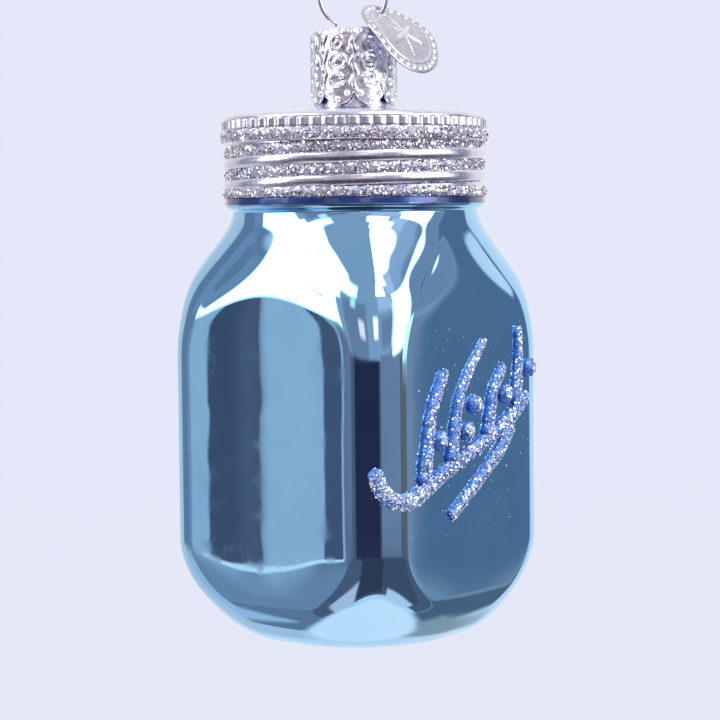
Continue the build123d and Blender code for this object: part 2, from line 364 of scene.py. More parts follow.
def jar(materials):
    heel = [HEEL_HEIGHT * (1 - cos(pi / 2 * i / HEEL_RINGS)) for i in range(HEEL_RINGS)]
    sides = [HEEL_HEIGHT + (RIM_Z - HEEL_HEIGHT) * i / SIDE_RINGS for i in range(SIDE_RINGS + 1)]
    heights = heel + sides
    rings = []
    for z in heights:
        ring = []
        for x, y, _ in jar_ring(z):
            inward = 1 + ripple((x, y, z)) / sqrt(x * x + y * y)
            ring.append((x * inward, y * inward, z))
        rings.append(ring)
    points, faces = closed_rings(rings)
    columns = len(rings[0])
    around = (len(heights) - 1) * columns
    lacquered = [int(heights[face // columns] > LACQUER_Z) for face in range(around)]
    return mesh_piece("jar_body", points, faces, materials, "jar", ["jar_glass"],
                      indices=lacquered + [0, 0])


# ---- lid --------------------------------------------------------------------------------


def thread_stand(angle, z):
    """How far the round thread stands out of its groove at an angle in degrees and a height."""
    height = 0.0
    turned = (angle - THREAD_START) % 360
    for lap in range(THREAD_TURNS + 1):
        done = turned + 360 * lap
        if done > 360 * THREAD_TURNS:
            break
        away = abs(z - THREAD_Z - THREAD_PITCH * done / 360) / THREAD_HALF
        if away < 1:
            height = max(height, THREAD_STAND * sqrt(1 - away * away) ** 0.8)
    return height


def knurl_stand(angle):
    """How far the knurl stands out at an angle in degrees."""
    wave = cos(radians(angle) * KNURL_COUNT)
    return (KNURL_RADIUS - KNURL_ROOT) * (0.5 + 0.5 * wave) ** 0.6


def lid_radius(angle, z):
    """Radius of the lid's side at an angle in degrees and a height."""
    if z < FOOT_TOP:
        roll = min((z - RIM_Z) / FOOT_ROLL, 1)
        return RIM_RADIUS + (FOOT_RADIUS - RIM_RADIUS) * sqrt(1 - (1 - roll) ** 2)
    if z < BAND_LOW:
        return GROOVE_RADIUS + thread_stand(angle, z)
    if z < BAND_TOP:
        return BAND_RADIUS
    if z < KNURL_TOP:
        rise = min((z - BAND_TOP) / 0.2, (KNURL_TOP - z) / 0.25, 1)
        return KNURL_ROOT + knurl_stand(angle) * sqrt(max(rise, 0))
    return KNURL_ROOT


def lid_outline():
    """Radius and height from the knurl over the lid's top, up and down the open neck, to the inside."""
    edge_radius, edge_z = KNURL_ROOT - LID_EDGE_INSET, LID_TOP - LID_EDGE_HIGH
    outline = []
    for i in range(9):
        turn = pi / 2 * i / 8
        outline.append((edge_radius + LID_EDGE_WIDE * cos(turn), edge_z + LID_EDGE_HIGH * sin(turn)))
    blend_radius = STEM_RADIUS + STEM_BLEND
    for i in range(1, 13):
        part_way = i / 12
        outline.append((edge_radius + (blend_radius - edge_radius) * part_way,
                        LID_TOP + (DOME_Z - LID_TOP) * ease(part_way, -0.2, 1)))
    for i in range(1, 6):
        turn = pi / 2 * i / 5
        outline.append((blend_radius - STEM_BLEND * sin(turn), DOME_Z + STEM_BLEND_HIGH * (1 - cos(turn))))
    outline += [
        (STEM_RADIUS, STEM_TOP - 0.3), (STEM_RADIUS - 0.15, STEM_TOP - 0.05), (STEM_RADIUS - 0.35, STEM_TOP),
        (STEM_BORE + 0.1, STEM_TOP - 0.1), (STEM_BORE, STEM_TOP - 0.3), (STEM_BORE, DOME_Z),
        (STEM_BORE + 1.5, DOME_Z - INSIDE_DROP), (STEM_BORE + 1.5, RIM_Z),
    ]
    return outline


def lid(material):
    columns = KNURL_COUNT * 12
    angles = [360 * i / columns for i in range(columns)]
    levels = []
    steps = [(RIM_Z, FOOT_TOP, 12), (FOOT_TOP + 0.01, BAND_LOW - 0.01, 64),
             (BAND_LOW, BAND_TOP - 0.01, 4), (BAND_TOP, KNURL_TOP, 12)]
    for low, high, count in steps:
        levels += [low + (high - low) * i / count for i in range(count + 1)]

    def ring(radius_at, z):
        return [(radius_at(a) * cos(radians(a)), radius_at(a) * sin(radians(a)), z) for a in angles]

    rings = [ring(lambda a: lid_radius(a, z), z) for z in levels]
    rings += [ring(lambda a: radius, z) for radius, z in lid_outline()]
    points, faces = closed_rings(rings)
    return mesh_piece("lid_shell", points, faces, [material], "jar", ["lid_glass"])


# ---- glitter ----------------------------------------------------------------------------


def on_glass(along, z):
    """Point and outward direction on the decorated face: along runs towards +X, round the corners."""
    radius = CORNER_RADIUS * CORNER_TIGHT
    flat, sag, centre = section(HALF_WIDTH, radius)
    side = 1 if along > 0 else -1
    if abs(along) <= flat:
        turn = FACE_CROWN * along / flat
        x, out = along, HALF_WIDTH - sag * (along / flat) ** 2
    else:
        turn = side * (FACE_CROWN + (abs(along) - flat) / radius)
        x, out = side * (centre + radius * sin(abs(turn))), centre + radius * cos(turn)
    return Vector((x, -out, z)), Vector((sin(turn), -cos(turn), 0))


def smooth_path(points, step):
    """Evenly spaced points on a smooth curve through the given ones."""
    points = [Vector(point) for point in points]
    ends = [2 * points[0] - points[1]] + points + [2 * points[-1] - points[-2]]
    path = []
    for i in range(1, len(ends) - 2):
        before, first, second, after = ends[i - 1:i + 3]
        count = max(2, round((second - first).length / step))
        for k in range(count):
            t = k / count
            path.append(0.5 * (2 * first + (second - before) * t
                               + (2 * before - 5 * first + 4 * second - after) * t * t
                               + (3 * first - before - 3 * second + after) * t * t * t))
    path.append(ends[-2])
    return path


GLUE_SINK = 0.12                        # how far the glue's flat underside is inside the glass


def lumps(point):
    """Uneven thickness of hand-laid glue, about 1."""
    return 1 + 0.16 * noise.noise(point * 0.9) + 0.10 * noise.noise(point * 2.3)


def bead_line(frames, half_width, height, sections=16):
    """Lumpy half-round bead along frames of (point, sideways, outwards, scale), flat underneath."""
    rings = []
    for point, sideways, outwards, scale in frames:
        lump = lumps(point)
        ring = []
        for i in range(sections):
            turn = 2 * pi * i / sections
            up = sin(turn) * height * lump * scale if turn < pi else sin(turn) * GLUE_SINK
            ring.append(tuple(point + sideways * (cos(turn) * half_width * lump * scale) + outwards * up))
        rings.append(ring)
    return rings


FLAKE_THICKNESS = 0.03


class Flakes:
    """Thin six-sided foil flakes, gathered into one mesh."""

    def __init__(self):
        self.points, self.faces = [], []

    def add(self, centre, normal, size, tilt=0.4):
        lean = Vector((random.gauss(0, tilt), random.gauss(0, tilt), random.gauss(0, tilt)))
        normal = (normal + lean).normalized()
        first = normal.orthogonal().normalized()
        second = normal.cross(first)
        start = len(self.points)
        spin = random.uniform(0, pi / 3)
        for level in (-0.5, 0.5):
            for i in range(6):
                turn = spin + i * pi / 3
                self.points.append(tuple(centre + (first * cos(turn) + second * sin(turn)) * size
                                         + normal * level * FLAKE_THICKNESS))
        self.faces.append(tuple(start + 5 - i for i in range(6)))
        self.faces.append(tuple(start + 6 + i for i in range(6)))
        for i in range(6):
            after = (i + 1) % 6
            self.faces.append((start + i, start + after, start + 6 + after, start + 6 + i))

    def piece(self, name, material, slot, replaces=()):
        return mesh_piece(name, self.points, self.faces, [material], "jar", replaces, smooth=False)


# Strokes of the sprig: radius at the start and at the end, then points (along the face, height).
STEM = (1.15, 1.05, [(-19.6, 26.4), (-18.6, 23.4), (-16.2, 21.7), (-12.6, 22.2), (-7.4, 24.6),
                     (-1.6, 26.8), (4.6, 29.2), (9.6, 31.6), (13.4, 34.4)])
LEAVES = [
    (1.15, 0.85, [(-11.4, 23.4), (-10.4, 29.0), (-9.4, 33.6), (-6.4, 39.0)]),
    (1.15, 0.55, [(-5.2, 25.8), (-4.4, 30.2), (-2.6, 36.0), (3.0, 42.8)]),
    (1.10, 0.75, [(3.2, 28.8), (4.2, 32.6), (5.0, 35.4), (7.6, 39.0)]),
    (1.05, 0.70, [(10.4, 33.0), (11.2, 37.0), (11.5, 40.4), (11.4, 44.2)]),
    (1.10, 0.80, [(9.6, 30.6), (6.4, 27.0), (2.0, 23.6), (-5.4, 18.6)]),
]
BERRIES = [(-7.6, 29.4), (-1.4, 30.2), (0.4, 33.8), (8.0, 34.8), (14.2, 38.2)]
BERRY_RADIUS, BERRY_HEIGHT = 1.4, 1.1
BERRY_ROWS, BERRY_COLUMNS, BERRY_FLAKES = 8, 20, 240
STROKE_HEIGHT = 0.82                    # over the stroke's half width
STROKE_DENSITY = 24                     # flakes offered to a square millimetre
SPRIG_FLAKE = (0.08, 0.20)              # radius of a flake, from and to
STRAYS, STRAY_FLAKE = 170, (0.04, 0.10)
PAINTED_HIGHLIGHT_SIDE = Vector((1, 0, 0.6)).normalized()     # pale flakes gather on this side of each stroke, the side facing the light: a painted highlight
CURL = (-23.5, -15.0)                   # where the thick glitter of the stem's curled end thins out


def stroke_frames(radii, points):
    """Frames along a stroke on the decorated face, rounded off at both ends."""
    path = smooth_path([(along, z, 0) for along, z in points], 0.35)
    lengths = [0.0]
    for before, after in zip(path, path[1:]):
        lengths.append(lengths[-1] + (after - before).length)
    frames = []
    for i, flat_point in enumerate(path):
        ahead, behind = path[min(i + 1, len(path) - 1)], path[max(i - 1, 0)]
        start, _ = on_glass(behind.x, behind.y)
        end, _ = on_glass(ahead.x, ahead.y)
        point, outwards = on_glass(flat_point.x, flat_point.y)
        sideways = (end - start).cross(outwards).normalized()
        done = lengths[i] / lengths[-1]
        radius = radii[0] + (radii[1] - radii[0]) * done
        left = min(lengths[i], lengths[-1] - lengths[i]) / radius
        frames.append((point, sideways, outwards, radius * sqrt(max(0.04, 1 - (1 - min(left, 1)) ** 2))))
    return frames, lengths[-1]


def settle(flakes, point, normal):
    """Offer a flake to the glue: it stays most often on the side facing the light, as a painted highlight of
    pale flakes, and on the stem's curled end.
    """
    size = random.uniform(*SPRIG_FLAKE)
    # painted highlight: the more a spot faces the light, the likelier a pale flake stays there
    lit = 0.5 + 0.5 * normal.dot(PAINTED_HIGHLIGHT_SIDE) / 0.7
    curl = 1 - ease(point.x + 0.3 * point.y, *CURL)
    if random.random() < 0.12 + 0.75 * lit + 0.7 * curl:
        flakes.add(point, normal, size)


def stroke_flakes(flakes, frames, area):
    for _ in range(round(area * STROKE_DENSITY)):
        place = random.uniform(0, len(frames) - 1.001)
        before = int(place)
        point, sideways, outwards, scale = frames[before]
        point = point.lerp(frames[before + 1][0], place - before)
        turn = random.uniform(0.12, 0.88) * pi
        normal = (sideways * cos(turn) + outwards * sin(turn)).normalized()
        reach = scale * (0.03 + lumps(point))
        spot = point + sideways * (cos(turn) * reach) + outwards * (sin(turn) * STROKE_HEIGHT * reach)
        settle(flakes, spot, normal)


def berry(along, z, flakes):
    """Rings of one domed berry, with its flakes settled on it."""
    point, outwards = on_glass(along, z)
    up = Vector((0, 0, 1))
    sideways = outwards.cross(up)
    rings = []
    for row in range(BERRY_ROWS):
        lean = pi / 2 * row / BERRY_ROWS
        level = -GLUE_SINK if row == 0 else BERRY_HEIGHT * sin(lean)
        ring = []
        for i in range(BERRY_COLUMNS):
            turn = 2 * pi * i / BERRY_COLUMNS
            uneven = 1 + 0.12 * noise.noise(point + Vector((cos(turn), sin(turn), 0)))
            around = sideways * cos(turn) + up * sin(turn)
            ring.append(tuple(point + around * (BERRY_RADIUS * cos(lean) * uneven) + outwards * level))
        rings.append(ring)
    for _ in range(BERRY_FLAKES):
        turn, lean = random.uniform(0, 2 * pi), random.uniform(0.05, 1.0) ** 0.7 * pi / 2
        around = sideways * cos(turn) + up * sin(turn)
        normal = (around * cos(lean) + outwards * sin(lean)).normalized()
        spot = point + around * (BERRY_RADIUS * cos(lean)) + outwards * (BERRY_HEIGHT * sin(lean))
        settle(flakes, spot, normal)
    return rings


def sprig(glue_material, flake_material):
    flakes = Flakes()
    points, faces = [], []

    def gather(rings, flip=False):
        more, more_faces = closed_rings(rings)
        faces.extend(tuple(len(points) + k for k in (face[::-1] if flip else face)) for face in more_faces)
        points.extend(more)

    for start, end, line in [STEM] + LEAVES:
        frames, length = stroke_frames((start, end), line)
        gather(bead_line(frames, 1.0, STROKE_HEIGHT))
        stroke_flakes(flakes, frames, length * pi * (start + end) / 2)
    for along, z in BERRIES:
        gather(berry(along, z, flakes), flip=True)
    mesh_piece("sprig_glue", points, faces, [glue_material], "jar",
               ["sprig_stem", "sprig_leaves", "sprig_berries"])
    for _ in range(STRAYS):
        along, z = random.gauss(1, 9), random.gauss(30, 10)
        if -20 < along < 16.5 and 16 < z < 46:
            point, outwards = on_glass(along, z)
            flakes.add(point + outwards * FLAKE_THICKNESS, outwards, random.uniform(*STRAY_FLAKE), 0.15)
    flakes.piece("sprig_flakes", flake_material, "blue_glitter")


LID_GLUE_HEIGHT = 0.24
LID_DENSITY = 15                        # flakes to a square millimetre
LID_FLAKE = (0.09, 0.21)                # radius of a flake, from and to
TURN_SECTIONS = 420                     # of a band, to a full turn
# Band on the lid: name, CAD node, starting angle, degrees turned, height, rise, radius, half width.
LID_BANDS = [
    ("rim", "lid_glitter_rim", 0, 360, (BAND_LOW + BAND_TOP) / 2 + 0.02, 0, BAND_RADIUS - 0.08, 0.76),
    ("thread", "lid_glitter_thread", THREAD_START, 690, THREAD_Z + THREAD_PITCH / 2, THREAD_PITCH,
     GROOVE_RADIUS, 0.80),
    ("foot", "lid_glitter_foot", 0, 360, 63.55, 0, FOOT_RADIUS, 0.62),
]


def band_level(level, half):
    """Height of a band's middle and its share of the full width, squeezed under the rim band."""
    spare = BAND_LOW - level
    if level > BAND_LOW or spare >= half:
        return level, 1.0
    room = max(spare + half, 0.5)
    return BAND_LOW - room / 2, room / 2 / half


def band_mesh(start, turned, height, rise, radius, half):
    """Points and faces of one band: a closed ring, or a strip with tapered ends."""
    count = round(turned / 360 * TURN_SECTIONS)
    whole = turned == 360
    frames = []
    for i in range(count if whole else count + 1):
        turn = radians(start + turned * i / count)
        outwards = Vector((cos(turn), sin(turn), 0))
        level, narrow = band_level(height + rise * turned * i / count / 360, half)
        end = 1 if whole else min(i, count - i) / 6
        frames.append((outwards * radius + Vector((0, 0, level)), Vector((0, 0, 1)), outwards,
                       narrow * min(1, max(0.15, end))))
    rings = bead_line(frames, half, LID_GLUE_HEIGHT, 12)
    if whole:
        points = [point for ring in rings for point in ring]
        faces = [tuple(k % len(points) for k in face) for face in ring_faces(len(rings) + 1, len(rings[0]))]
    else:
        points, faces = closed_rings(rings)
    return points, [face[::-1] for face in faces]


def band_flakes(flakes, start, turned, height, rise, radius, half):
    glue_width = 2.3 * half             # over the curve of the bead
    for _ in range(round(radians(turned) * radius * glue_width * LID_DENSITY)):
        done = random.random()
        turn = radians(start + turned * done)
        outwards = Vector((cos(turn), sin(turn), 0))
        across = random.uniform(-1.06, 1.06)
        level = LID_GLUE_HEIGHT * sqrt(max(0, 1 - min(1, abs(across)) ** 2.6))
        point = outwards * (radius + level + random.uniform(0.0, 0.05))
        middle, narrow = band_level(height + rise * turned * done / 360, half)
        point.z = middle + across * half * narrow
        normal = (outwards + Vector((0, 0, 0.5 * across))).normalized()
        flakes.add(point, normal, random.uniform(*LID_FLAKE), 0.38)


def lid_glitter(glue_material, flake_material):
    flakes = Flakes()
    for name, node, *shape in LID_BANDS:
        points, faces = band_mesh(*shape)
        mesh_piece("lid_glue_" + name, points, faces, [glue_material], "jar", [node])
        band_flakes(flakes, *shape)
    flakes.piece("lid_flakes", flake_material, "silver_glitter")


# ---- cap --------------------------------------------------------------------------------

CAP_LOW, CAP_HIGH = cad("cap")[0][2], cad("cap")[1][2]
CAP_RADIUS, CAP_SHEET, CAP_ROUND, CAP_LOBES = 6.0, 0.35, 1.0, 8
LOBE_RADIUS = 2.35
LOBE_STEPS, WALL_RINGS = 44, 90         # points across a lobe, and rings of the outer wall
REPEAT = 2 * pi * CAP_RADIUS / CAP_LOBES
SLOT_AT, SLOT_SIZE = 2.57, 1.5
# Hoops pressed into each lobe: height, half width, half height, width of the line.
HOOPS = [(84.55, 0.78, 1.0, 0.24), (81.95, 1.15, 1.05, 0.22)]
SCROLL = (79.4, 1.0, 0.85, 0.2)         # as a hoop, but open on one side
SCROLL_GAP = (0.55, 79.1)               # beyond that distance and above that height
HOOP_STAND, RELIEF_LIMIT = 0.24, 0.32
# Domes pressed into each lobe: distance from its middle, height, half width, half height, stand.
DOMES = [(0, 84.55, 0.4, 0.5, 0.14), (0, 81.95, 0.75, 0.62, 0.20),
         (0.55, 79.8, 0.36, 0.36, 0.26), (0, CAP_LOW + 0.75, 0.4, 0.36, 0.30)]
PAIRED_DOMES = [(1.4, CAP_LOW + 1.6, 0.36, 0.36, 0.30), (1.7, 83.45, 0.3, 0.42, 0.2)]   # on both sides
RIB_INSET, RIB_SWAY, RIB_WAVE, RIB_WAVE_Z, RIB_WIDTH, RIB_STAND = 0.25, 0.22, 2.7, 79.5, 0.2, 0.19


def dome(across, up, wide, high, stand):
    inside = 1 - (across / wide) ** 2 - (up / high) ** 2
    return stand * sqrt(inside) if inside > 0 else 0.0


def hoop(across, up, wide, high, width, stand):
    """Height of a raised oval outline."""
    away = (sqrt((across / wide) ** 2 + (up / high) ** 2) - 1) * min(wide, high)
    return stand * exp(-(away / width) ** 2)


def cap_relief(across, z):
    """Pressed pattern of one lobe: hoops, domes and an open scroll, with a wavy rib at each side."""
    hoops = list(HOOPS)
    if across < SCROLL_GAP[0] or z < SCROLL_GAP[1]:
        hoops.append(SCROLL)
    stands = [hoop(across, z - at, *shape, HOOP_STAND) for at, *shape in hoops]
    stands += [dome(across - off, z - at, *shape) for off, at, *shape in DOMES]
    for side in (-1, 1):
        rib = side * (REPEAT / 2 - RIB_INSET) + RIB_SWAY * sin(2 * pi * (z - RIB_WAVE_Z) / RIB_WAVE)
        stands.append(RIB_STAND * exp(-((across - rib) / RIB_WIDTH) ** 2))
        stands += [dome(across - side * off, z - at, *shape) for off, at, *shape in PAIRED_DOMES]
    fade = ease(z, CAP_LOW, CAP_LOW + 0.3) * (1 - ease(z, 85.55, 86.15))
    return min(max(stands), RELIEF_LIMIT) * fade


def cap_floor(across):
    """Height of the scalloped lower edge."""
    away = min(abs(across), LOBE_RADIUS - 0.12)
    return CAP_LOW + LOBE_RADIUS - sqrt(LOBE_RADIUS ** 2 - away ** 2)


def cap(material):
    columns = CAP_LOBES * LOBE_STEPS
    turns = [radians(VIEW_ANGLE) + 2 * pi * column / columns for column in range(columns)]
    offsets = [((column % LOBE_STEPS) / LOBE_STEPS - 0.5) * REPEAT for column in range(columns)]
    inner_round = CAP_ROUND - CAP_SHEET
    bend_radius, bend_z = CAP_RADIUS - CAP_ROUND, CAP_HIGH - CAP_ROUND
    rings = []

    def add_ring(place):
        """Add a ring of points whose radius and height place(turn, offset) gives."""
        spots = [(turn, *place(turn, offset)) for turn, offset in zip(turns, offsets)]
        rings.append([(radius * cos(turn), radius * sin(turn), z) for turn, radius, z in spots])

    def level_ring(radius, z, flute=0.0):
        add_ring(lambda turn, offset: (radius + flute * cos(8 * pi * offset / REPEAT), z))

    def bend_ring(corner, lean, flute=0.0):
        level_ring(bend_radius + corner * cos(lean), bend_z + corner * sin(lean), flute * cos(lean))

    def inner_wall(share):
        top = bend_z - 0.05
        add_ring(lambda turn, offset: (CAP_RADIUS - CAP_SHEET,
                                       cap_floor(offset) + (top - cap_floor(offset)) * share))

    def outer_wall(row):
        def place(turn, offset):
            low = cap_floor(offset)
            z = low + (bend_z - low) * row / WALL_RINGS
            crease = 0.012 * noise.noise(Vector((8 * turn, z * 2.2, 0)))
            hem = 0.06 * (1 - min(1, row / 2))
            return CAP_RADIUS + cap_relief(offset, z) + crease - hem, z
        add_ring(place)

    for reach in (0.3, 0.9, 1.8, 3.0, 4.2):
        level_ring(reach, CAP_HIGH - CAP_SHEET)
    for i in range(7):
        bend_ring(inner_round, pi / 2 * (1 - i / 6))
    for i in range(13):
        inner_wall(1 - i / 12)
    for row in range(WALL_RINGS + 1):
        outer_wall(row)
    for i in range(1, 9):
        bend_ring(CAP_ROUND, pi / 2 * i / 8, 0.05)
    for reach, dip in ((4.4, 0.02), (4.0, 0.10), (3.0, 0.12), (1.8, 0.12), (0.9, 0.10), (0.3, 0.10)):
        level_ring(reach, CAP_HIGH - dip)
    points, faces = closed_rings(rings)
    piece = mesh_piece("cap_shell", points, faces, [material], "cap", ["cap"])
    cut_slots(piece)
    return piece


def cut_slots(piece):
    """Open the two square slots in the cap's top that the wire goes through."""
    along = Vector((cos(radians(VIEW_ANGLE)), sin(radians(VIEW_ANGLE)), 0))
    for side in (-1, 1):
        bpy.ops.mesh.primitive_cube_add(size=SLOT_SIZE * MM, location=(0, 0, 0))
        cutter = bpy.context.object
        cutter.rotation_euler = (0, 0, radians(VIEW_ANGLE))
        cutter.location = (along * side * SLOT_AT + Vector((0, 0, CAP_HIGH))) * MM
        modifier = piece.modifiers.new("slot", "BOOLEAN")
        modifier.operation, modifier.solver, modifier.object = "DIFFERENCE", "EXACT", cutter
        bpy.context.view_layer.update()
        result = bpy.data.meshes.new_from_object(piece.evaluated_get(bpy.context.evaluated_depsgraph_get()))
        piece.modifiers.clear()
        piece.data = result
        bpy.data.objects.remove(cutter)


# ---- tag --------------------------------------------------------------------------------

TAG_RADIUS, TAG_THICK, TAG_HOLE, TAG_HOLE_AT = 6.72, 0.36, 1.1, 5.0
TAG_DROOP, TAG_BEARING, TAG_WIRE_Z, LOOP_Z, LOOP_RADIUS = radians(37), radians(40), 89.15, 91.7, 4.8
TAG_COLUMNS, TAG_ROWS = 300, 84
TAG_BEND, TAG_BEND_FROM, TAG_BEND_TO = radians(24), 3.2, 6.6    # bent down, at a distance from the hole
TAG_BEADS, BEAD_CIRCLE, BEAD_REACH, BEAD_STAND = 30, 5.95, 0.42, 0.20
STAR_REACH, STAR_WIDTH, STAR_STAND = 3.9, 0.5, 0.2
RAISED = 0.055                          # relief over this has been rubbed bright


def tag_relief(x, y):
    """Pressed pattern of the tag's upper face: beads round the edge, two fine hoops and a star."""
    reach, turn = sqrt(x * x + y * y), atan2(y, x)
    pitch = 2 * pi / TAG_BEADS
    off = (turn + pitch / 2) % pitch - pitch / 2
    stands = [dome(off * BEAD_CIRCLE, reach - BEAD_CIRCLE, BEAD_REACH, BEAD_REACH, BEAD_STAND),
              0.05 * exp(-((reach - 6.5) / 0.12) ** 2)]
    if x > -3.6:
        stands.append(0.10 * exp(-((reach - 5.05) / 0.14) ** 2))
    arm = (turn + pi / 6) % (pi / 3) - pi / 6
    across = abs(reach * sin(arm))
    width = STAR_WIDTH * max(0, 1 - (reach / STAR_REACH) ** 3)
    if across < width:
        stands.append(STAR_STAND * (1 - across / width))
    return max(stands)


def tag_place(column, share):
    """Point of the flat tag from its middle, a share of the way from the hole's edge to the rim."""
    angle = 2 * pi * column / TAG_COLUMNS
    x, y = cos(angle), sin(angle)
    reach = TAG_HOLE_AT * x + sqrt((TAG_HOLE_AT * x) ** 2 + TAG_RADIUS ** 2 - TAG_HOLE_AT ** 2)
    far = TAG_HOLE + (reach - TAG_HOLE) * share
    return x * far - TAG_HOLE_AT, y * far


def tag_frame():
    """The hole's middle, then directions: away from the wire, off the pressed face, and sideways."""
    turn, up = radians(VIEW_ANGLE), Vector((0, 0, 1))
    plane_x, plane_out = Vector((cos(turn), sin(turn), 0)), Vector((sin(turn), -cos(turn), 0))
    level = plane_x * cos(TAG_BEARING) + plane_out * sin(TAG_BEARING)
    way = level * cos(TAG_DROOP) - up * sin(TAG_DROOP)
    face = level * sin(TAG_DROOP) + up * cos(TAG_DROOP)
    hole = plane_x * sqrt(LOOP_RADIUS ** 2 - (LOOP_Z - TAG_WIRE_Z) ** 2) + up * TAG_WIRE_Z
    return hole, way, face, face.cross(way)


def tag(materials):
    hole, way, face, side = tag_frame()
    bend_radius = (TAG_BEND_TO - TAG_BEND_FROM) / TAG_BEND

    def bent(along, lift):
        """Point of the bent tag's middle line, at a distance from the hole and a height off the sheet."""
        lean = min(max(along - TAG_BEND_FROM, 0) / bend_radius, TAG_BEND)
        past = max(along - TAG_BEND_TO, 0)
        ahead = min(along, TAG_BEND_FROM) + bend_radius * sin(lean) + past * cos(lean)
        down = bend_radius * (1 - cos(lean)) + past * sin(lean)
        return hole + way * (ahead + lift * sin(lean)) + face * (lift * cos(lean) - down)

    def layer(low, relief):
        """Rings of one surface, thinned at both edges, with a share of the relief."""
        rings = []
        for row in range(TAG_ROWS + 1):
            share = row / TAG_ROWS
            thin = 0.55 + 0.45 * sqrt(min(1, (1 - share) * 30, share * 30))
            ring = []
            for column in range(TAG_COLUMNS):
                x, y = tag_place(column, share)
                stand = relief * tag_relief(x, y) if 0 < row < TAG_ROWS else 0
                ring.append(tuple(bent(x + TAG_HOLE_AT, low * thin + stand) + side * y))
            rings.append(ring)
        return rings

    rings = layer(TAG_THICK / 2, 1.0) + layer(-TAG_THICK / 2, -0.35)[::-1]
    points = [point for ring in rings for point in ring]
    faces = [tuple(k % len(points) for k in face) for face in ring_faces(len(rings) + 1, TAG_COLUMNS)]
    bright = [int(tag_relief(*tag_place(column + 0.5, (row + 0.5) / TAG_ROWS)) > RAISED)
              for row in range(TAG_ROWS) for column in range(TAG_COLUMNS)]
    return mesh_piece("tag_disc", points, faces, materials, "tag", ["tag"],
                      indices=bright + [0] * (len(faces) - len(bright)))


# ---- stage ------------------------------------------------------------------------------

BACKDROP = (0.783, 0.807, 0.939)


def direction_map(tree):
    """Azimuth from the camera's side and elevation in degrees, and the maker of the maths nodes."""
    nodes, links = tree.nodes, tree.links
    split = nodes.new("ShaderNodeSeparateXYZ")
    links.new(nodes.new("ShaderNodeTexCoord").outputs["Generated"], split.inputs[0])

    def maths(operation, first, second=None):
        node = nodes.new("ShaderNodeMath")
        node.operation = operation
        for socket, value in zip(node.inputs, (first, second)):
            if value is None:
                continue
            if isinstance(value, (int, float)):
                socket.default_value = value
            else:
                links.new(value, socket)
        return node.outputs[0]

    x, y, z = split.outputs
    turn = radians(VIEW_ANGLE)
    ahead = maths("ADD", maths("MULTIPLY", x, sin(turn)), maths("MULTIPLY", y, -cos(turn)))
    right = maths("ADD", maths("MULTIPLY", x, cos(turn)), maths("MULTIPLY", y, sin(turn)))
    azimuth = maths("MULTIPLY", maths("ARCTAN2", right, ahead), 180 / pi)
    elevation = maths("MULTIPLY", maths("ARCSINE", z), 180 / pi)
    return azimuth, elevation, maths


WINDOW = (5, 5, 5)
ROOM_BASE = (1.0, 0.95, 0.95)
